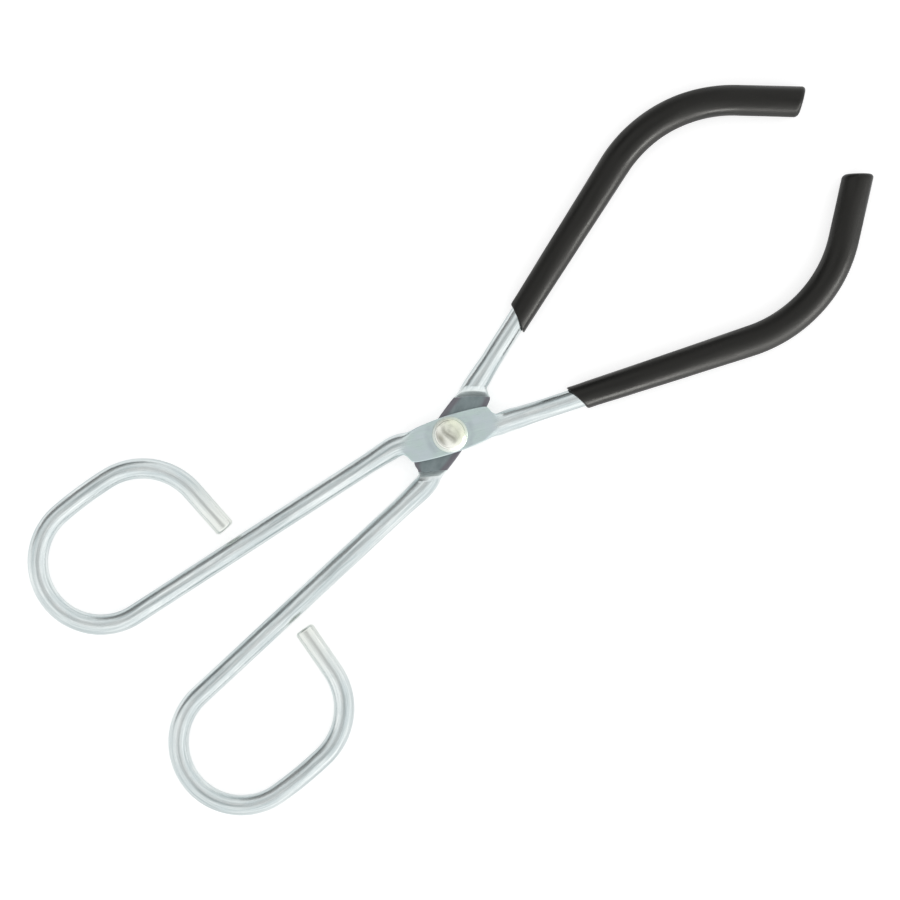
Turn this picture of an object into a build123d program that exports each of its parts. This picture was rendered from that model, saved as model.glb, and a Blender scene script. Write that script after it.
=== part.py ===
from build123d import *
from math import asin, cos, degrees, radians, sin, tan
import os

# Scissor-action beaker tongs, lying flat, in millimetres.
# +X runs along the centre line from the rivet to the jaws, +Y to the side where the front arm has
# its finger loop, +Z up. The origin is on the rivet's axis, at the flat face of its lower head.
# The two arms are one and the same bent and forged rod. The front one has its flat in the upper
# half of the rod. The back one is turned over about X, and its flat is broad a little further out.

# Rod and rest position
rod_diameter = 6.0
rest_angle = 26.0  # of each flat to the centre line, as the tongs lie in the photograph

# Handle half, from the rivet to the free end of the finger loop
handle_flat_length = 16.4  # from the rivet to the corner where the flat turns into the handle
handle_angle = 21.0
handle_bend_radius = 12.0
handle_straight = 89.9  # from that corner to the start of the loop
loop_far_radius = 18.3
loop_far_angle = 172.2
loop_top_radius = 117.0
loop_top_angle = 8.4
loop_near_radius = 19.3
loop_near_angle = 81.0
loop_end_straight = 14.7
free_end_chamfer = 0.5

# Jaw half, from the rivet to the closed tip of the sleeve
jaw_flat_length = 13.8  # from the rivet to the corner where the flat turns into the jaw
jaw_angle = 6.3
jaw_corner_radius = 30.0
jaw_straight = 77.9  # from that corner to the start of the jaw bend
jaw_bend_radius = 40.7
jaw_bend_angle = 59.2
tip_straight = 19.3

# Forged flat, where the two arms cross
flat_thickness = 2.7
flat_width = 11.0  # across the flat at the rivet
flat_corner_width = 11.8  # across its two broad corners
flat_corner_reach = 12.2  # from the rivet to a broad corner, along the flat
flat_tip_width = 3.0  # across the two ends, which run out inside the rod
flat_tip_reach = 18.0
back_corner_shift = 3.2  # how much further the back arm's flat is broad towards the jaw
flat_corner_radius = 2.0
flat_tip_radius = 1.0
flat_outer_edge_radius = 0.8
flat_lap_edge_radius = 0.4
lap_gap = 0.05  # between the two flats

# Shoulders, where the rod steps up from the flat to its full round
shoulder_jaw_reach = 12.4
shoulder_handle_reach = 11.7
shoulder_skew_angle = 60.0  # of the shoulder's line to the arm, close to the line of the other arm
shoulder_slope_angle = 60.0
crest_reach = 14.0  # half the length over which the rod's outer crest is pressed flat
crest_slope_angle = 10.0

# Rivet
shank_diameter = 5.0
shank_clearance = 0.05  # radial, in the hole of the front arm
head_gap = 0.05  # under the domed head, so that the front arm turns
head_diameter = 10.5
head_height = 2.3
head_rim = 0.9
head_chamfer = 0.5
tail_diameter = 9.0
tail_chamfer = 0.7

# Sleeve, a thick dipped coat over the jaw rod
sleeve_start = 25.2  # from the jaw corner to the middle of the sleeve's mouth
sleeve_mouth_wall = 0.85
sleeve_bend_wall = 1.5
sleeve_tip_wall = 1.55
sleeve_end_wall = 1.6  # past the rod's end
sleeve_mouth_angle = 34.0
sleeve_tip_angle = 13.5
sleeve_tip_radius = 1.3

# Derived sizes
rod_radius = rod_diameter / 2
rod_level = rod_radius + sleeve_tip_wall  # the rods' middle plane, with the sleeve tips on z = 0
flat_inner = lap_gap / 2  # the flat's lap face, above the middle plane of its rod
flat_outer = flat_inner + flat_thickness
tail_height = rod_level - flat_outer
head_seat = rod_level + flat_outer + head_gap


def heading(angle):
    """Unit vector in the XY plane at an angle to +X."""
    return Vector(cos(radians(angle)), sin(radians(angle)), 0)


def bent_line(angle, moves):
    """Edges of a centre line from the rivet: a move is a straight's length or a (radius, turn)."""
    point = Vector(0, 0, 0)
    edges = []
    for move in moves:
        if isinstance(move, tuple):
            radius, turn = move
            edge = JernArc(point, heading(angle), radius, turn)
            angle += turn
        else:
            edge = Line(point, point + heading(angle) * move)
        edges.append(edge)
        point = edge @ 1
    return edges


def set_back(radius, turn):
    """How far a bend starts before the corner of its two straights."""
    return radius * tan(radians(turn) / 2)


def handle_line():
    """Centre line of the handle and its finger loop, with the flat along X."""
    back = set_back(handle_bend_radius, handle_angle)
    return bent_line(180, [
        handle_flat_length - back,
        (handle_bend_radius, handle_angle),
        handle_straight - back,
        (loop_far_radius, -loop_far_angle),
        (loop_top_radius, -loop_top_angle),
        (loop_near_radius, -loop_near_angle),
        loop_end_straight,
    ])


def jaw_line(tip_length):
    """Centre line of the jaw, which ends with a straight tip of the given length."""
    back = set_back(jaw_corner_radius, jaw_angle)
    return bent_line(0, [
        jaw_flat_length - back,
        (jaw_corner_radius, jaw_angle),
        jaw_straight - back,
        (jaw_bend_radius, jaw_bend_angle),
        tip_length,
    ])


def swept(edges, radius):
    """Round bar of one radius along a run of tangent edges."""
    path = Wire(edges)
    return sweep(Plane(path @ 0, z_dir=path % 0) * Circle(radius), path=path)


def flat_plate(corner_shift):
    """The forged flat: a lens skewed towards the other arm, broad at two opposite corners."""
    tip = Vector(-flat_tip_reach, flat_tip_width / 2)
    side = Vector(0, flat_width / 2)
    corner = Vector(flat_corner_reach, flat_corner_width / 2)
    shift = Vector(corner_shift, 0)
    outline = Wire([
        ThreePointArc(tip, side, corner + shift),
        Line(corner + shift, shift - tip),
        ThreePointArc(shift - tip, -side, -corner),
        Line(-corner, tip),
    ])
    face = make_face(outline)
    broad = face.vertices().sort_by(lambda v: abs(v.Y))[-2:]
    face = fillet(broad, flat_corner_radius)
    narrow = face.vertices().sort_by(lambda v: abs(v.X))[-2:]
    face = fillet(narrow, flat_tip_radius)
    plate = extrude(Pos(0, 0, flat_inner) * face, flat_thickness)
    plate = fillet(plate.faces().sort_by(Axis.Z)[-1].edges(), flat_outer_edge_radius)
    return fillet(plate.faces().sort_by(Axis.Z)[0].edges(), flat_lap_edge_radius)


def press(low_reach, high_reach, level, depth, slope, skew):
    """Trapezoid bar that a press removes from the rod, from a level outwards by a depth."""
    run = abs(depth) / tan(radians(slope))
    profile = make_face(Polyline(
        (-low_reach, 0, level),
        (high_reach, 0, level),
        (high_reach + run, 0, level + depth),
        (-low_reach - run, 0, level + depth),
        close=True,
    ))
    across = heading(skew)
    return extrude(profile.translate(across * -flat_width), 2 * flat_width, dir=across)


def arm(hole_radius, corner_shift):
    """One arm with its flat along X and its rod's middle plane at z = 0."""
    handle = swept(handle_line(), rod_radius)
    end_face = handle.faces().filter_by(GeomType.PLANE).sort_by_distance(handle_line()[-1] @ 1)[0]
    handle = chamfer(end_face.edges(), free_end_chamfer)
    rod = handle + swept(jaw_line(tip_straight - sleeve_end_wall), rod_radius)
    rod -= press(
        shoulder_handle_reach, shoulder_jaw_reach, flat_inner, -rod_diameter, shoulder_slope_angle, shoulder_skew_angle
    )
    rod -= press(crest_reach, crest_reach, flat_outer, rod_radius, crest_slope_angle, 90)
    rod += flat_plate(corner_shift)
    return rod - Cylinder(hole_radius, 4 * flat_thickness)


def sleeve():
    """Dipped sleeve on the jaw rod, thicker towards its closed tip, in the arm's own place."""
    line = jaw_line(tip_straight)
    straight, bend, tip = line[2], line[3], line[4]
    spare = rod_diameter
    mouth = straight @ 0 + (straight % 0) * (sleeve_start - set_back(jaw_corner_radius, jaw_angle))
    mouth_radius = rod_radius + sleeve_mouth_wall
    bend_radius = rod_radius + sleeve_bend_wall
    tip_radius = rod_radius + sleeve_tip_wall
    back = mouth - (straight % 0) * spare
    front = tip @ 1 + (tip % 1) * spare
    body = loft([
        Plane(back, z_dir=straight % 0) * Circle(mouth_radius),
        Plane(straight @ 1, z_dir=straight % 0) * Circle(bend_radius),
    ])
    body += swept([bend], bend_radius)
    body += loft([
        Plane(tip @ 0, z_dir=tip % 0) * Circle(bend_radius),
        Plane(front, z_dir=tip % 0) * Circle(tip_radius),
    ])
    body = split(body, Plane(mouth, z_dir=(straight % 0).rotate(Axis.Z, -sleeve_mouth_angle)), Keep.TOP)
    body = split(body, Plane(tip @ 1, z_dir=(tip % 1).rotate(Axis.Z, sleeve_tip_angle)), Keep.BOTTOM)
    end_face = body.faces().filter_by(GeomType.PLANE).sort_by_distance(tip @ 1)[0]
    body = fillet(end_face.edges(), sleeve_tip_radius)
    return body - swept(jaw_line(tip_straight - sleeve_end_wall), rod_radius)


def rivet():
    """Solid rivet: a domed head above, a shank through both flats and a flat formed head below."""
    head_radius = head_diameter / 2
    tail_radius = tail_diameter / 2
    shank_radius = shank_diameter / 2
    sides = Polyline(
        (0, 0),
        (tail_radius - tail_chamfer, 0),
        (tail_radius, tail_chamfer),
        (tail_radius, tail_height),
        (shank_radius, tail_height),
        (shank_radius, head_seat),
        (head_radius, head_seat),
        (head_radius, head_seat + head_rim),
    )
    crown_height = head_height - head_rim
    crown_radius = (head_radius**2 + crown_height**2) / (2 * crown_height)
    spread = degrees(asin(head_radius / crown_radius))
    crown = CenterArc((0, head_seat + head_height - crown_radius), crown_radius, 90 - spread, spread)
    middle = Line((0, head_seat + head_height), (0, 0))
    profile = make_face([*sides.edges(), crown, middle])
    rim = profile.vertices().sort_by_distance((head_radius, head_seat + head_rim))[0]
    profile = Plane.XZ * chamfer(rim, head_chamfer)
    return revolve(profile, Axis.Z)


def placed_front(shape):
    """Turn a shape from the arm's own place to the front arm's place at rest."""
    return Pos(0, 0, rod_level) * Rot(0, 0, -rest_angle) * shape


def placed_back(shape):
    """The same, turned over about X to the back arm's place."""
    return Pos(0, 0, rod_level) * Rot(180, 0, 0) * Rot(0, 0, -rest_angle) * shape


nodes = {
    "front_arm": placed_front(arm(shank_diameter / 2 + shank_clearance, 0)),
    "back_arm": placed_back(arm(shank_diameter / 2, back_corner_shift)),
    "pivot_rivet": rivet(),
    "front_jaw_sleeve": placed_front(sleeve()),
    "back_jaw_sleeve": placed_back(sleeve()),
}

os.makedirs("parts", exist_ok=True)
for name, shape in nodes.items():
    export_step(shape, "parts/" + name + ".step")
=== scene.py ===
import math

import bpy
import numpy as np
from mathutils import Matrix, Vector, noise


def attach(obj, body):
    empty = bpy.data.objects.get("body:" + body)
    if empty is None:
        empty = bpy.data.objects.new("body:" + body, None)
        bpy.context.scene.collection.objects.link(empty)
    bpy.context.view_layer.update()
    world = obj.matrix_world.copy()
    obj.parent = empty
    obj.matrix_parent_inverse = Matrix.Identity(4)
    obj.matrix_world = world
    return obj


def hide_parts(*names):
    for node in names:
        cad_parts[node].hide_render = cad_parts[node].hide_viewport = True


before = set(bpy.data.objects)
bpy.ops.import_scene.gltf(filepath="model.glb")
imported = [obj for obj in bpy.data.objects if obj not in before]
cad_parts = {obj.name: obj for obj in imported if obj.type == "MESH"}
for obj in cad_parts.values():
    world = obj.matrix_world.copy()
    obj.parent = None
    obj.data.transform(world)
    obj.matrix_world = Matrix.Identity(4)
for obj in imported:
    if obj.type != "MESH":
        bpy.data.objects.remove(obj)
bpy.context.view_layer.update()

# The dressed beaker tongs. Sizes are in millimetres, in each arm's own place: the flat lies along X
# from the rivet, the jaw on the positive side. The back arm is turned over about X.
MM = 0.001
ROD_RADIUS = 2.99
REST_ANGLE = 26.0  # of each flat to the tongs' centre line
ROD_LEVEL = 4.55  # the rods' middle plane above the bench

# Centre lines from the rivet: a straight is a length, a bend is (radius, turn in degrees)
HANDLE_MOVES = (
    14.175, (12.0, 21.0), 87.675,  # flat, corner and handle
    (18.3, -172.2), (117.0, -8.4), (19.3, -81.0), 14.7,  # finger loop and its free end
)
JAW_MOVES = (12.149, (30.0, 6.3), 76.249, (40.7, 59.2), 19.3)
TIP_TRIM = 0.25  # the coat's end stays this much inside the solid's
END_ROUND = 0.9  # of the rods' free ends
NECK_SPREAD = 0.12  # how much the pressed rod is broader next to its shoulders
NECK_RUN_OUT = (15.0, 27.0)  # from the rivet, where that extra width ends

# Forged flat
FLAT_WIDTH = 11.0
FLAT_CORNER = (12.2, 5.9)  # a broad corner: from the rivet, and half the width there
FLAT_TIP = (18.0, 1.5)  # the same where the flat runs out
FLAT_EDGE_EASE = 0.5  # rounds the broad corners
BACK_CORNER_SHIFT = 3.2  # how much further the back arm's flat is broad towards the jaw
FLAT_LAP = 0.025  # levels of the lap side and the face above the rod's middle plane
FLAT_FACE = 2.725
FLAT_FACE_ROUND = 0.35
FLAT_LAP_ROUND = 0.45
FACE_RUN_OUT = (11.5, 16.0)  # from the rivet, where the press on the face side ends

# Shoulders on the lap side
SHOULDER_JAW = 12.25  # from the rivet to the foot on each side
SHOULDER_HANDLE = 11.8
SHOULDER_SKEW = 60.0
SKEW_RUN_OUT = (16.0, 22.0)  # from the rivet, where the rod's sections turn square again
SHOULDER_RISE = ((0.0, 0.9, 1.8, 3.4), (1.0, 0.62, 0.25, 0.0))  # share of the press past the foot
SHOULDER_NARROWING = ((0.0, 1.6, 4.2), (1.0, 0.80, 0.0))  # and share of the forged width

# Rivet
SHANK_RADIUS = 2.5
HEAD_SEAT = 7.325
HEAD_RADIUS = 5.25
HEAD_HEIGHT = 2.3
HEAD_RIM = 0.9
DOME_SHARE = 0.85  # of the solid's fall from the middle to the rim
DOME_EDGE = (4.5, 0.78, 10)  # radius, depth and steepness of the fall just inside the lip
HAMMERING = 0.20  # depth of the broad dents
DENTS = 0.24  # depth of the two long dents
TAIL_RADIUS = 4.5
TAIL_HEIGHT = 1.825
TAIL_CHAMFER = 0.7

# Sleeves
BORE_FIT = 0.005
FRONT_MOUTH = (38.5, 28.0)  # along the jaw's centre line from the rivet, and its lean in degrees
BACK_MOUTH = (39.0, 34.0)
COAT_START = 39.0  # where the coat begins to thicken
MOUTH_RADIUS = 3.85
BEND_RADIUS = 4.5
TIP_RADIUS = 4.55
TIP_SKEW = 13.5
TIP_ROUND = 1.3
END_WALL = 1.6
COAT_WAVES = 0.09  # how uneven the coat is
MOUTH_RAG = 0.15  # and the edge of its mouth

# The photograph: straight from above, turned against the tongs' centre line
VIEW_WIDTH = 261.45  # millimetres across the picture, at the rods' middle plane
VIEW_CENTRE = (-2.77, -3.55)
VIEW_TURN = -37.95
LENS = 135.0
SENSOR = 36.0

# Colours of the plated rod: streaks, clouds, pressed face, painted shade round the rivet, painted shade
# on the lap, a painted highlight on the shoulders, and cut ends
PLATE_DARK, PLATE_LIGHT, PLATE_CLOUD = (0.46, 0.525, 0.535), (0.89, 0.935, 0.93), (0.60, 0.675, 0.69)
# The last is painted shade in a ring round the rivet's head
FACE_GREEN, FACE_BLUE, FACE_RIVET_SHADE = (0.605, 0.74, 0.71), (0.61, 0.695, 0.73), (0.46, 0.54, 0.56)
# Painted shade on the lap, which lies low beside the other arm's flat, darker still at its rim
LAP_SHADE_DARK, LAP_SHADE_LIGHT, LAP_RIM_SHADE = (0.165, 0.21, 0.22), (0.26, 0.315, 0.325), (0.15, 0.13, 0.155)
# The first is a painted highlight on the shoulders' walls
STEP_HIGHLIGHT, END_TONE, CUT_TONE = (0.86, 0.91, 0.90), (0.84, 0.85, 0.78), (0.72, 0.72, 0.66)

# Colours of the rivet and of the vinyl
# The cream is the rivet plate's own warm tone; its run from white to cream across the head is painted
# light
RIVET_WHITE, RIVET_CREAM, RIVET_CLOUD = (0.92, 0.92, 0.87), (0.78, 0.81, 0.66), (0.66, 0.68, 0.60)
# Painted shade at the rivet's lip, and a painted dark reflection in its dents
RIVET_LIP_SHADE, RIVET_DENT_REFLECTION = (0.60, 0.67, 0.63), (0.40, 0.40, 0.34)
VINYL_DARK, VINYL_LIGHT = (0.0018, 0.0019, 0.0018), (0.0042, 0.0042, 0.0039)
VINYL_DUST = (0.035, 0.035, 0.033)

# Light. The room's levels run over the height and the sideways part of the direction: a bright ring
# of panels under a dimmer ceiling, and a dark opening on the +Y side.
ROOM_RING = ((0.0, 1.0), (0.75, 1.03), (0.88, 0.97), (0.965, 0.73), (1.0, 0.61))
ROOM_OPENING = ((-1.0, 1.14), (-0.5, 1.09), (0.1, 1.02), (0.64, 0.98), (0.88, 0.30), (1.0, 0.22))
BENCH_SIZE = 6.0  # metres, as all sizes of the light are
BENCH_DROP = 0.0001
BENCH_TONE = 0.60
BENCH_MIRRORED = 0.47
LAMP_PLACE = (0.07, -0.40, 0.085)
LAMP_WIDTH = 0.60


def smooth(x, low, high):
    """Smooth step from 0 at low to 1 at high."""
    t = np.clip((x - low) / (high - low), 0, 1)
    return t * t * (3 - 2 * t)


def sampled(*axes):
    """Smooth noise at places given as arrays of their three coordinates."""
    places = np.stack(np.broadcast_arrays(*axes), -1)
    values = [noise.noise(Vector(place)) for place in places.reshape(-1, 3)]
    return np.array(values).reshape(places.shape[:-1])


def move_length(move):
    """Length of the rod in one move: a straight's length or a (radius, turn) bend."""
    return move[0] * math.radians(abs(move[1])) if isinstance(move, tuple) else move


HANDLE_LENGTH = sum(move_length(m) for m in HANDLE_MOVES)
JAW_LENGTH = sum(move_length(m) for m in JAW_MOVES) - TIP_TRIM


def follow(moves, angle, along):
    """Points and headings at distances along a run of moves that starts at the rivet."""
    x, y = np.zeros_like(along), np.zeros_like(along)
    head = np.zeros_like(along)
    at, px, py = 0.0, 0.0, 0.0
    last = len(moves) - 1
    for i, move in enumerate(moves):
        length = move_length(move)
        inside = (along >= at) & ((along <= at + length) | (i == last))
        inside |= (along < at) & (i == 0)
        d = along - at
        if isinstance(move, tuple):
            radius, turn = move
            sign = math.copysign(1, turn)
            cx, cy = px - sign * radius * math.sin(angle), py + sign * radius * math.cos(angle)
            a = angle + sign * d / radius
            nx, ny = cx + sign * radius * np.sin(a), cy - sign * radius * np.cos(a)
            end = angle + math.radians(turn)
            px, py = cx + sign * radius * math.sin(end), cy - sign * radius * math.cos(end)
        else:
            a = np.full_like(along, angle)
            nx, ny = px + d * math.cos(angle), py + d * math.sin(angle)
            end = angle
            px, py = px + length * math.cos(angle), py + length * math.sin(angle)
        x, y, head = np.where(inside, nx, x), np.where(inside, ny, y), np.where(inside, a, head)
        angle = end
        at += length
    return x, y, head


def bent(along, off, up):
    """Places unbent rod coordinates on the arm: along the rod (the jaw is positive), left of it, up."""
    jx, jy, jh = follow(JAW_MOVES, 0.0, np.maximum(along, 0))
    hx, hy, hh = follow(HANDLE_MOVES, math.pi, np.maximum(-along, 0))
    jaw = along >= 0
    x, y = np.where(jaw, jx, hx), np.where(jaw, jy, hy)
    head = np.where(jaw, jh, hh - math.pi)
    return np.stack([x - off * np.sin(head), y + off * np.cos(head), up], -1)


def flat_edge(x, shift):
    """Half width of the flat on its left side: a shallow arc, then a fall past the shifted corner."""
    (ax, ay), (bx, by) = (-FLAT_TIP[0], FLAT_TIP[1]), (0.0, FLAT_WIDTH / 2)
    cx, cy = FLAT_CORNER
    fall = cy - (x - cx - shift) * (cy + FLAT_TIP[1]) / (FLAT_TIP[0] - cx)
    cx += shift
    slope_ab, slope_bc = (by - ay) / (bx - ax), (cy - by) / (cx - bx)
    curve = (slope_bc - slope_ab) / (cx - ax)
    arc = ay + slope_ab * (x - ax) + curve * (x - ax) * (x - bx)
    ease = FLAT_EDGE_EASE
    return -ease * np.logaddexp(-arc / ease, -fall / ease)


def plate_section(turn, left, right):
    """Rounded bar section of the flat at angles round the rod, between its lap and its face."""
    middle = (FLAT_LAP + FLAT_FACE) / 2
    wall_end, arc_end = 20.0, 50.0  # angles where the side's wall and its rounded edge end
    quarter = np.abs((turn + 90) % 180 - 90)  # 0 at the sides, 90 at the face and the lap
    up = np.sin(np.radians(turn)) >= 0
    side = np.cos(np.radians(turn)) >= 0
    width = np.where(side, left, right)
    rounding = np.where(up, FLAT_FACE_ROUND, FLAT_LAP_ROUND)
    level = np.where(up, FLAT_FACE, FLAT_LAP)
    arc = np.radians(np.clip((quarter - wall_end) / (arc_end - wall_end), 0, 1) * 90)
    out = width - rounding + rounding * np.cos(arc)
    out = np.where(quarter > arc_end, (width - rounding) * (90 - quarter) / (90 - arc_end), out)
    toward = np.where(up, 1, -1)
    start = level - toward * rounding
    wall = middle + (start - middle) * quarter / wall_end
    z = np.where(quarter < wall_end, wall, start + toward * rounding * np.sin(arc))
    return np.where(side, out, -out), z


def ring_mesh(name, points, spaces, extra=None):
    """Closed mesh from rings of points with a fan at each end.

    It keeps the unbent place of each point, and the extra values, as attributes for the shaders.
    """
    rings, around = points.shape[:2]
    verts = np.concatenate([points.reshape(-1, 3), points[:1].mean(1), points[-1:].mean(1)])
    flat = np.concatenate([spaces.reshape(-1, 3), spaces[:1].mean(1), spaces[-1:].mean(1)])
    faces = []
    for i in range(rings - 1):
        a, b = i * around, (i + 1) * around
        for j in range(around):
            k = (j + 1) % around
            faces.append((a + j, b + j, b + k, a + k))
    first, last, end = rings * around, rings * around + 1, (rings - 1) * around
    for j in range(around):
        k = (j + 1) % around
        faces.append((first, j, k))
        faces.append((last, end + k, end + j))
    mesh = bpy.data.meshes.new(name)
    mesh.from_pydata((verts * MM).tolist(), [], faces)
    layer = mesh.attributes.new("unbent", "FLOAT_VECTOR", "POINT").data
    layer.foreach_set("vector", flat.ravel())
    for key, values in (extra or {}).items():
        values = np.concatenate([values.ravel(), [values[0].mean(), values[-1].mean()]])
        layer = mesh.attributes.new(key, "FLOAT", "POINT").data
        layer.foreach_set("value", values.astype(np.float32))
    mesh.shade_smooth()
    mesh.validate()
    piece = bpy.data.objects.new(name, mesh)
    bpy.context.scene.collection.objects.link(piece)
    return piece


def placed(points, over):
    """Turns points from an arm's own place to its place at rest, over about X for the back arm."""
    a = math.radians(-REST_ANGLE)
    x = points[..., 0] * math.cos(a) - points[..., 1] * math.sin(a)
    y = points[..., 0] * math.sin(a) + points[..., 1] * math.cos(a)
    z = points[..., 2]
    if over:
        y, z = -y, -z
    return np.stack([x, y, z + ROD_LEVEL], -1)


def arm(name, over, shift):
    """One arm: round rod that flows into the forged flat, with skewed shoulders on its lap side."""
    around, fine, coarse = 72, 0.2, 0.9  # points round a ring, steps near the rivet and elsewhere
    zone = SKEW_RUN_OUT[1]
    # Stations along the rod, and the size of each ring: the cut free end and its round come first
    end = END_ROUND * (1 - np.cos(np.radians(np.linspace(10, 90, 8))))
    handle = np.linspace(END_ROUND - HANDLE_LENGTH, -zone, round((HANDLE_LENGTH - zone) / coarse))[1:]
    middle = np.arange(-zone + fine, zone, fine)
    jaw = np.linspace(zone, JAW_LENGTH - END_WALL, round((JAW_LENGTH - zone) / coarse))
    stations = np.concatenate([[-HANDLE_LENGTH] * 3, end - HANDLE_LENGTH, handle, middle, jaw])
    scale = np.ones_like(stations)
    scale[:3] = 0.3, 0.55, 1 - 0.95 * END_ROUND / ROD_RADIUS
    scale[3:3 + len(end)] = 1 - END_ROUND / ROD_RADIUS * (1 - np.sqrt(1 - (1 - end / END_ROUND) ** 2))
    scale = scale[:, None]
    s, turn = np.meshgrid(stations, np.arange(around) * 360 / around, indexing="ij")
    sine, cosine = np.sin(np.radians(turn)), np.cos(np.radians(turn))
    # How much each point is pressed and narrowed to the flat, on the face side and the lap side
    past = np.maximum(s - SHOULDER_JAW, -SHOULDER_HANDLE - s)
    pressed_lap = np.interp(past, *SHOULDER_RISE)
    narrowed_lap = np.interp(past, *SHOULDER_NARROWING)
    pressed_face = 1 - smooth(np.abs(s), *FACE_RUN_OUT)
    face_side = smooth(sine, -0.25, 0.25)
    pressed = face_side * pressed_face + (1 - face_side) * pressed_lap
    narrowed = face_side * pressed_face + (1 - face_side) * narrowed_lap
    # The skewed sections move along the rod by how far out they are, and the flat's width follows
    skew = (1 / math.tan(math.radians(SHOULDER_SKEW))) * (1 - smooth(np.abs(s), *SKEW_RUN_OUT))
    neck = 1 + NECK_SPREAD * (1 - smooth(np.abs(s), *NECK_RUN_OUT))
    round_off, round_up = ROD_RADIUS * neck * cosine, ROD_RADIUS * sine
    along = s
    for _ in range(6):
        left = np.maximum(flat_edge(along, shift), ROD_RADIUS)
        right = np.maximum(flat_edge(-along, 0), ROD_RADIUS)
        plate_off, plate_up = plate_section(turn, left, right)
        off = (round_off + (plate_off - round_off) * narrowed) * scale
        along = s + off * skew
    up = (round_up + (plate_up - round_up) * pressed) * scale
    # Where the shaders find the lap and its rim, in painted shade, the shoulders' walls, with a painted
    # highlight, the face and the cut end
    lap_side = smooth(-sine, 0.0, 0.3)
    lap = smooth(pressed_lap, 0.93, 1.0) * lap_side
    width = np.where(off > 0, left, right)
    zones = {
        "lap": lap,
        "rim": lap * smooth(np.abs(off), width - 2.2, width - 1.2),
        "step": smooth(pressed_lap, 0.0, 0.3) * smooth(1 - pressed_lap, 0.0, 0.07) * lap_side,
        "face": pressed_face * smooth(sine, 0.2, 0.6),
        "cut": np.repeat((np.arange(len(stations)) < 3)[:, None] * 1.0, around, 1),
    }
    spaces = np.stack([along, off, up], -1)
    return ring_mesh(name, placed(bent(along, off, up), over), spaces, zones)


def coat_radius(along):
    """Outer radius of the dipped coat: it thickens up to the bend, and a little more past it."""
    bend_start = sum(move_length(m) for m in JAW_MOVES[:3])
    bend_end = bend_start + move_length(JAW_MOVES[3])
    places = [COAT_START, bend_start, bend_end, JAW_LENGTH]
    return np.interp(along, places, [MOUTH_RADIUS, BEND_RADIUS, BEND_RADIUS, TIP_RADIUS])


def sleeve(name, over, seed, mouth, lean):
    """Dipped sleeve: a bore on the rod, a rounded oblique mouth, an uneven coat and a closed tip."""
    around, step = 72, 0.7
    bore = ROD_RADIUS + BORE_FIT
    lip = (MOUTH_RADIUS - bore) / 2
    lip_turn = np.radians(np.linspace(180, 0, 9))
    inner = np.arange(JAW_LENGTH - END_WALL, mouth + 2, -4.0)
    outer = np.arange(mouth + lip + 0.3, JAW_LENGTH - TIP_ROUND - 0.3, step)
    end_turn = np.radians(np.linspace(0, 90, 9))
    # Stations and radii: bore, mouth, coat, rounded edge of the tip, and its flat end
    stations = np.concatenate([
        inner, mouth + lip - lip * np.sin(lip_turn), outer,
        JAW_LENGTH - TIP_ROUND + TIP_ROUND * np.sin(end_turn), [JAW_LENGTH] * 2,
    ])
    radii = np.concatenate([
        np.full_like(inner, bore), bore + lip + lip * np.cos(lip_turn), coat_radius(outer),
        TIP_RADIUS - TIP_ROUND + TIP_ROUND * np.cos(end_turn), [2.0, 0.8],
    ])
    s, turn = np.meshgrid(stations, np.radians(np.arange(around) * 360 / around), indexing="ij")
    radius = np.repeat(radii[:, None], around, 1)
    coat = (radius > bore + 0.1) * smooth(s, mouth, mouth + 3) * smooth(radius, 2.5, 3.5)
    cosine, sine = np.cos(turn), np.sin(turn)
    wave = sampled(s * 0.09 + seed, cosine * 0.5, sine * 0.5)
    radius = radius - coat * COAT_WAVES * (0.5 + 0.5 * wave)
    off, up = radius * cosine, radius * sine
    mouth_lean = math.tan(math.radians(lean)) * (1 - smooth(s, mouth + 1, mouth + 16))
    tip_lean = math.tan(math.radians(TIP_SKEW)) * smooth(s, JAW_LENGTH - 10, JAW_LENGTH - 1)
    rag = MOUTH_RAG * sampled(cosine[0] * 1.3 + seed, sine[0] * 1.3, 0.5)
    along = s - off * (mouth_lean + tip_lean) + rag * (1 - smooth(s, mouth + 1, mouth + 5))
    spaces = np.stack([along, off, up], -1)
    return ring_mesh(name, placed(bent(along, off, up), over), spaces)


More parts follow.
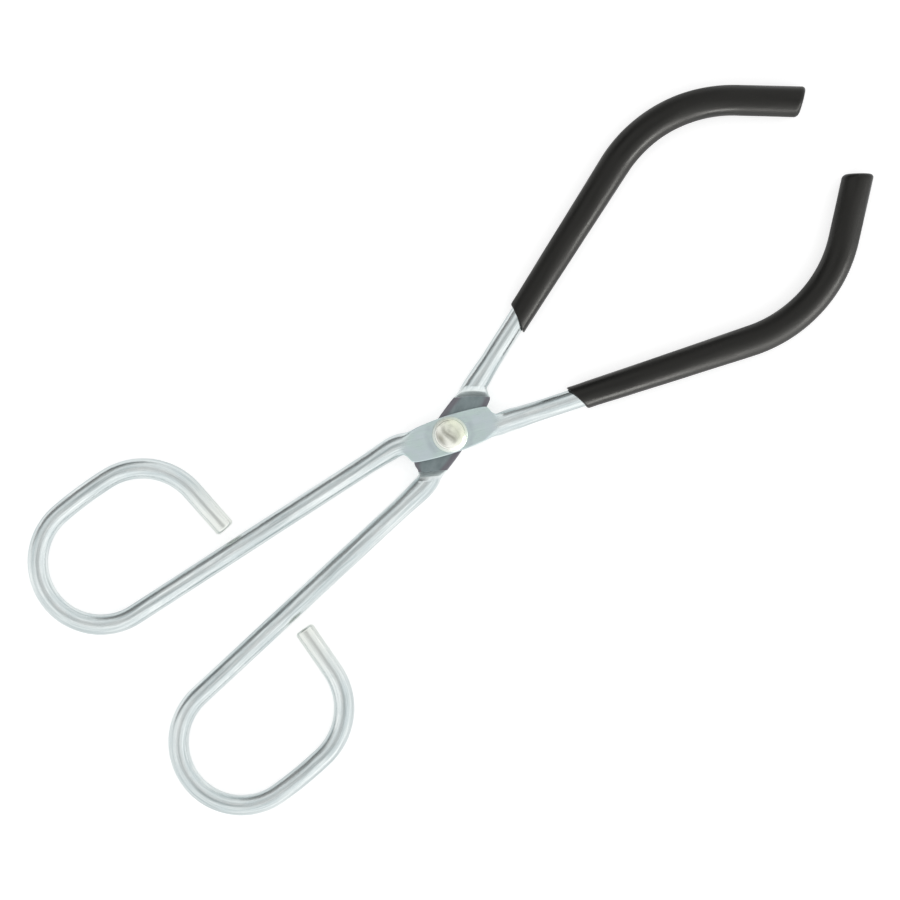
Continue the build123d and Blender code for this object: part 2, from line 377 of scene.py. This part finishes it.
def rivet(name):
    """Rivet: a peened dome with two long dents inside a low lip, the shank and the lower head."""
    around = 96
    crown = HEAD_HEIGHT - HEAD_RIM
    sphere = (HEAD_RADIUS**2 + crown**2) / (2 * crown)
    rim_top = HEAD_SEAT + HEAD_RIM
    profile = [
        (1.2, 0.0), (TAIL_RADIUS - TAIL_CHAMFER - 0.15, 0.0), (TAIL_RADIUS - TAIL_CHAMFER, 0.05),
        (TAIL_RADIUS - 0.05, TAIL_CHAMFER - 0.05), (TAIL_RADIUS, TAIL_CHAMFER + 0.1),
        (TAIL_RADIUS, TAIL_HEIGHT - 0.05), (TAIL_RADIUS - 0.05, TAIL_HEIGHT),
        (SHANK_RADIUS, TAIL_HEIGHT), (SHANK_RADIUS, HEAD_SEAT), (HEAD_RADIUS - 0.3, HEAD_SEAT),
        (HEAD_RADIUS - 0.05, HEAD_SEAT + 0.08), (HEAD_RADIUS, HEAD_SEAT + 0.25),
        (HEAD_RADIUS - 0.05, rim_top - 0.45), (HEAD_RADIUS - 0.25, rim_top - 0.28),
        (HEAD_RADIUS - 0.5, rim_top - 0.20), (HEAD_RADIUS - 0.7, rim_top - 0.16),
    ]
    reach = np.linspace(HEAD_RADIUS - 0.8, 0.12, 40)
    dome = HEAD_SEAT + HEAD_HEIGHT - DOME_SHARE * (sphere - np.sqrt(sphere**2 - reach**2))
    edge, depth, power = DOME_EDGE
    dome -= depth * (1 - np.sqrt(1 - (reach / edge) ** power))
    radius, z = np.array(profile + list(zip(reach, dome))).T
    r, turn = np.meshgrid(radius, np.radians(np.arange(around) * 360 / around), indexing="ij")
    z = np.repeat(z[:, None], around, 1)
    x, y = r * np.cos(turn), r * np.sin(turn)
    top = (np.arange(len(radius)) >= len(profile))[:, None] * (1 - smooth(r, 3.7, 4.4))
    hammer = sampled(x * 0.42 + 3.1, y * 0.42 + 1.7, 0.4)
    middle = x + 0.3 + 0.1 * y + 0.25 * np.sin(1.2 * y)  # distance from the wavy middle dent
    dents = np.exp(-((middle / 0.8) ** 2) - ((y - 0.1) / 2.7) ** 4)
    dents += 1.25 * np.exp(-(((x + 2.7) / 0.95) ** 2) - ((y - 0.7) / 2.1) ** 2)
    z = z - top * (HAMMERING * (0.5 + hammer) + DENTS * dents)
    # The rings run from the lower head upwards, so their points are turned the other way round
    points = np.stack([x, y, z], -1)[:, ::-1]
    return ring_mesh(name, points, points, {"dents": (top * dents)[:, ::-1]})


def add_node(tree, kind, links=None, values=None, **settings):
    """A node with links {input: socket}, values {input: value} and settings."""
    node = tree.nodes.new(kind)
    for key, value in settings.items():
        setattr(node, key, value)
    for key, value in (values or {}).items():
        node.inputs[key].default_value = value
    for key, socket in (links or {}).items():
        tree.links.new(socket, node.inputs[key])
    return node


class Shader:
    """A material with a Principled shader, and short calls for the nodes that feed it."""

    def __init__(self, name, **values):
        self.material = bpy.data.materials.new(name)
        self.material.use_nodes = True
        self.tree = self.material.node_tree
        self.main = self.tree.nodes["Principled BSDF"]
        for key, value in values.items():
            self.main.inputs[key.replace("_", " ")].default_value = value

    def add(self, kind, links=None, values=None, **settings):
        """A node in this material."""
        return add_node(self.tree, kind, links, values, **settings)

    def feed(self, key, socket):
        """Links a socket to an input of the Principled shader."""
        self.tree.links.new(socket, self.main.inputs[key])

    def attribute(self, name, output):
        """A mesh attribute's socket."""
        return self.add("ShaderNodeAttribute", attribute_name=name).outputs[output]

    def noise(self, vector, stretch, detail=5.0, roughness=0.55, offset=0.0):
        """Noise over a vector in millimetres, with a frequency per millimetre along each axis."""
        scaled = self.vector("MULTIPLY", vector, stretch)
        moved = self.vector("ADD", scaled, (offset,) * 3)
        values = {"Scale": 1.0, "Detail": detail, "Roughness": roughness}
        return self.add("ShaderNodeTexNoise", {"Vector": moved}, values).outputs["Fac"]

    def spread(self, socket, low, high, out_low, out_high):
        """Maps a range of a socket to another range, clamped."""
        values = {"From Min": low, "From Max": high, "To Min": out_low, "To Max": out_high}
        return self.add("ShaderNodeMapRange", {"Value": socket}, values).outputs["Result"]

    def mix(self, factor, first, second):
        """Mix of two colours, each a tuple or a socket, by a socket."""
        node = self.add("ShaderNodeMix", {"Factor": factor}, data_type="RGBA")
        for index, colour in ((6, first), (7, second)):
            if isinstance(colour, tuple):
                node.inputs[index].default_value = (*colour, 1.0)
            else:
                self.tree.links.new(colour, node.inputs[index])
        return node.outputs[2]

    def vector(self, operation, socket, value):
        """Vector arithmetic on a socket and a constant."""
        node = self.add("ShaderNodeVectorMath", {0: socket}, {1: value}, operation=operation)
        return node.outputs[0]

    def reach(self, place):
        """Distance of a place from the rivet's axis."""
        flat = self.vector("MULTIPLY", place, (1.0, 1.0, 0.0))
        length = self.add("ShaderNodeVectorMath", {0: flat}, operation="LENGTH")
        return length.outputs["Value"]

    def math(self, operation, first, second):
        """Arithmetic on a socket and a socket or number."""
        node = self.add("ShaderNodeMath", {0: first}, operation=operation)
        if isinstance(second, (int, float)):
            node.inputs[1].default_value = second
        else:
            self.tree.links.new(second, node.inputs[1])
        return node.outputs[0]

    def bump(self, *layers):
        """Stacked bumps, each (height socket, strength, depth in millimetres), into the shader."""
        normal = None
        for height, strength, depth in layers:
            links = {"Height": height}
            if normal is not None:
                links["Normal"] = normal
            node = self.add("ShaderNodeBump", links, {"Strength": strength, "Distance": depth * MM})
            normal = node.outputs["Normal"]
        self.feed("Normal", normal)


def plated_steel():
    """Bright plate on drawn rod: streaks along it, a satin face with painted shade round the rivet, a
    dull lap in painted shade and painted highlights on the shoulders' walls.
    """
    m = Shader("plated_steel", Metallic=1.0)
    place = m.attribute("unbent", "Vector")
    face, lap, cut, rim, step = (
        m.attribute(key, "Fac") for key in ("face", "lap", "cut", "rim", "step")
    )
    streak = m.noise(place, (0.045, 0.9, 0.9), 6.0, 0.6)
    hair = m.noise(place, (0.16, 7.0, 7.0), 3.0, 0.5, 9.0)
    mottle = m.noise(place, (0.22, 0.3, 0.3), 4.0, 0.6, 4.0)
    grain = m.noise(place, (3.5, 3.5, 3.5), 2.0, 0.5, 2.0)
    # The rod, a little warmer over the last 20 mm to its free end
    tone = m.mix(m.spread(streak, 0.3, 0.7, 0, 1), PLATE_DARK, PLATE_LIGHT)
    tone = m.mix(m.spread(mottle, 0.45, 0.70, 0, 0.55), tone, PLATE_CLOUD)
    along = m.add("ShaderNodeSeparateXYZ", {0: place}).outputs["X"]
    tone = m.mix(m.spread(along, -HANDLE_LENGTH, 20 - HANDLE_LENGTH, 0.6, 0), tone, END_TONE)
    # The pressed face, with a faint ring of painted shade round the rivet's head
    pressed = m.mix(m.spread(mottle, 0.35, 0.65, 0, 1), FACE_GREEN, FACE_BLUE)
    reach = m.reach(place)
    ring = m.math("MULTIPLY", m.spread(reach, 5.2, 6.2, 0, 1), m.spread(reach, 6.6, 7.8, 1, 0))
    ring = m.math("MULTIPLY", ring, m.spread(mottle, 0.4, 0.6, 0.1, 0.7))
    pressed = m.mix(ring, pressed, FACE_RIVET_SHADE)
    tone = m.mix(m.math("MULTIPLY", face, 0.9), tone, pressed)
    # The lap in painted shade, darker at its rim, the shoulders' walls with a painted highlight, and
    # the cut end
    lap_shade = m.mix(m.spread(mottle, 0.3, 0.7, 0, 1), LAP_SHADE_DARK, LAP_SHADE_LIGHT)
    lap_shade = m.mix(m.math("MULTIPLY", rim, 0.85), lap_shade, LAP_RIM_SHADE)
    tone = m.mix(m.math("MULTIPLY", lap, 0.92), tone, lap_shade)
    # Painted highlight on the shoulders' walls
    tone = m.mix(m.math("MULTIPLY", step, 0.8), tone, STEP_HIGHLIGHT)
    m.feed("Base Color", m.mix(m.math("MULTIPLY", cut, 0.7), tone, CUT_TONE))
    rough = m.math("ADD", m.spread(hair, 0.3, 0.7, 0.14, 0.26), m.spread(mottle, 0.45, 0.7, 0, 0.06))
    for zone, extra in ((face, 0.12), (lap, 0.18), (step, 0.30), (cut, 0.25)):
        rough = m.math("ADD", rough, m.math("MULTIPLY", zone, extra))
    m.feed("Roughness", rough)
    m.bump((streak, 0.45, 0.14), (mottle, 0.30, 0.30), (hair, 0.12, 0.02), (grain, 0.08, 0.02))
    return m.material


def rivet_steel():
    """Warmer plate on the peened rivet: painted light from white to cream across it, a rougher lip,
    painted shade at the lip and a painted dark reflection in the dents.
    """
    m = Shader("rivet_steel", Metallic=1.0)
    place = m.attribute("unbent", "Vector")
    cloud = m.noise(place, (0.30, 0.30, 0.30), 4.0, 0.6, 1.0)
    peening = m.noise(place, (1.1, 1.1, 1.1), 3.0, 0.5, 5.0)
    grain = m.noise(place, (5.0, 5.0, 5.0), 2.0, 0.5, 8.0)
    side = m.add("ShaderNodeSeparateXYZ", {0: place}).outputs["X"]
    reach = m.reach(place)
    # Painted light: whiter towards -X, creamier towards +X
    tone = m.mix(m.spread(side, -2.5, 2.5, 0, 1), RIVET_WHITE, RIVET_CREAM)
    tone = m.mix(m.spread(cloud, 0.4, 0.7, 0, 0.5), tone, RIVET_CLOUD)
    # Painted shade at the lip
    tone = m.mix(m.spread(reach, 4.3, 4.9, 0, 0.75), tone, RIVET_LIP_SHADE)
    # Painted dark reflection in the dents
    dents = m.math("MULTIPLY", m.attribute("dents", "Fac"), 0.80)
    m.feed("Base Color", m.mix(dents, tone, RIVET_DENT_REFLECTION))
    rough = m.math("ADD", m.spread(peening, 0.3, 0.7, 0.16, 0.28), m.spread(reach, 4.1, 4.7, 0, 0.25))
    m.feed("Roughness", rough)
    m.bump((peening, 0.30, 0.12), (grain, 0.10, 0.02))
    return m.material


def dipped_vinyl():
    """Black dipped vinyl: half gloss, with faint flow lines and patches along it and a fine skin."""
    m = Shader("dipped_vinyl", Specular_IOR_Level=0.35, Specular_Tint=(1.0, 0.985, 0.93, 1.0))
    place = m.attribute("unbent", "Vector")
    flow = m.noise(place, (0.05, 0.5, 0.5), 4.0, 0.6)
    patch = m.noise(place, (0.05, 0.12, 0.12), 2.0, 0.5, 5.0)
    skin = m.noise(place, (1.6, 1.6, 1.6), 3.0, 0.55, 3.0)
    dust = m.noise(place, (2.6, 2.6, 2.6), 2.0, 0.6, 7.0)
    tone = m.mix(m.spread(flow, 0.35, 0.65, 0, 1), VINYL_DARK, VINYL_LIGHT)
    m.feed("Base Color", m.mix(m.spread(dust, 0.62, 0.75, 0, 0.25), tone, VINYL_DUST))
    rough = m.math("ADD", m.spread(flow, 0.3, 0.7, 0.28, 0.40), m.spread(patch, 0.38, 0.62, 0, 0.20))
    m.feed("Roughness", rough)
    m.bump((patch, 0.30, 0.6), (flow, 0.25, 0.15), (skin, 0.35, 0.08))
    return m.material


def dress(piece, material, node, body):
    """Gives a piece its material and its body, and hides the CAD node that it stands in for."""
    piece.data.materials.append(material)
    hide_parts(node)
    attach(piece, body)


def level_ramp(tree, socket, low, high, levels):
    """Smooth grey ramp over a range of a socket, from pairs of a value and a level."""
    values = {"From Min": low, "From Max": high}
    spread = add_node(tree, "ShaderNodeMapRange", {"Value": socket}, values)
    ramp = add_node(tree, "ShaderNodeValToRGB", {"Fac": spread.outputs["Result"]})
    ramp.color_ramp.interpolation = "EASE"
    stops = ramp.color_ramp.elements
    for i, (value, level) in enumerate(levels):
        at = (value - low) / (high - low)
        stop = stops[i] if i < 2 else stops.new(at)
        stop.position = at
        stop.color = (level, level, level, 1)
    return ramp.outputs["Color"]


def background():
    """World: white to the camera, and a studio round the tongs for light and reflections."""
    world = bpy.data.worlds.new("studio")
    bpy.context.scene.world = world
    world.use_nodes = True
    tree = world.node_tree
    tree.nodes.clear()
    place = add_node(tree, "ShaderNodeTexCoord").outputs["Generated"]
    parts = add_node(tree, "ShaderNodeSeparateXYZ", {0: place})
    ring = level_ramp(tree, parts.outputs["Z"], 0, 1, ROOM_RING)
    opening = level_ramp(tree, parts.outputs["Y"], -1, 1, ROOM_OPENING)
    room = add_node(tree, "ShaderNodeVectorMath", {0: ring, 1: opening}, operation="MULTIPLY")
    soft = add_node(tree, "ShaderNodeBackground", {"Color": room.outputs[0]}).outputs[0]
    white = add_node(tree, "ShaderNodeBackground", values={"Color": (1, 1, 1, 1)}).outputs[0]
    seen = add_node(tree, "ShaderNodeLightPath").outputs["Is Camera Ray"]
    mix = add_node(tree, "ShaderNodeMixShader", {0: seen, 1: soft, 2: white})
    add_node(tree, "ShaderNodeOutputWorld", {"Surface": mix.outputs[0]})


def bench():
    """Pale floor, white to the camera and a little dimmer in reflections, that keeps the shadow."""
    half = BENCH_SIZE / 2
    mesh = bpy.data.meshes.new("bench")
    corners = [(-half, -half, 0), (half, -half, 0), (half, half, 0), (-half, half, 0)]
    mesh.from_pydata(corners, [], [(0, 1, 2, 3)])
    floor = bpy.data.objects.new("bench", mesh)
    floor.location.z = -BENCH_DROP
    bpy.context.scene.collection.objects.link(floor)
    m = Shader("bench_paper", Roughness=0.9, Specular_IOR_Level=0.1)
    m.main.inputs["Base Color"].default_value = (BENCH_TONE, BENCH_TONE, BENCH_TONE, 1)
    m.main.inputs["Emission Color"].default_value = (1, 1, 1, 1)
    path = m.add("ShaderNodeLightPath").outputs
    mirrored = m.math("MULTIPLY", path["Is Glossy Ray"], BENCH_MIRRORED)
    seen = m.math("MAXIMUM", path["Is Camera Ray"], path["Is Transmission Ray"])
    m.feed("Emission Strength", m.math("MAXIMUM", m.math("MULTIPLY", seen, BENCH_TONE), mirrored))
    mesh.materials.append(m.material)


def side_lamp(name, aim, height, radiance, lit):
    """Wide area light at the side, unseen by the camera, that lights the given pieces only."""
    data = bpy.data.lights.new(name, "AREA")
    data.shape = "RECTANGLE"
    data.size, data.size_y = LAMP_WIDTH, height
    data.energy = radiance * math.pi * LAMP_WIDTH * height
    lamp = bpy.data.objects.new(name, data)
    lamp.location = LAMP_PLACE
    toward = Vector(aim) - Vector(LAMP_PLACE)
    lamp.rotation_euler = toward.to_track_quat("-Z", "Y").to_euler()
    lamp.visible_camera = False
    bpy.context.scene.collection.objects.link(lamp)
    receivers = bpy.data.collections.new(name + "_lights")
    lamp.light_linking.receiver_collection = receivers
    for piece in lit:
        receivers.objects.link(piece)


def camera():
    """Camera straight above, framed and turned as the photograph."""
    data = bpy.data.cameras.new("camera")
    data.lens, data.sensor_width = LENS, SENSOR
    view = bpy.data.objects.new("camera", data)
    rise = VIEW_WIDTH * LENS / SENSOR
    view.location = (VIEW_CENTRE[0] * MM, VIEW_CENTRE[1] * MM, (rise + ROD_LEVEL) * MM)
    view.rotation_euler = (0, 0, math.radians(VIEW_TURN))
    bpy.context.scene.collection.objects.link(view)
    bpy.context.scene.camera = view


camera()
background()
bench()

steel, vinyl = plated_steel(), dipped_vinyl()
dress(arm("front_rod", False, 0.0), steel, "front_arm", "front_half")
dress(arm("back_rod", True, BACK_CORNER_SHIFT), steel, "back_arm", "back_half")
front_sleeve = sleeve("front_sleeve", False, 0.0, *FRONT_MOUTH)
back_sleeve = sleeve("back_sleeve", True, 20.0, *BACK_MOUTH)
dress(front_sleeve, vinyl, "front_jaw_sleeve", "front_half")
dress(back_sleeve, vinyl, "back_jaw_sleeve", "back_half")
head = rivet("rivet")
dress(head, rivet_steel(), "pivot_rivet", "back_half")
side_lamp("sleeve_light", (0.07, 0.0, 0.0), 0.14, 11.5, (front_sleeve, back_sleeve))
side_lamp("rivet_light", (0.0, 0.0, 0.0), 0.11, 6.5, (head,))

bpy.context.scene.view_settings.view_transform = "Standard"
bpy.context.view_layer.update()
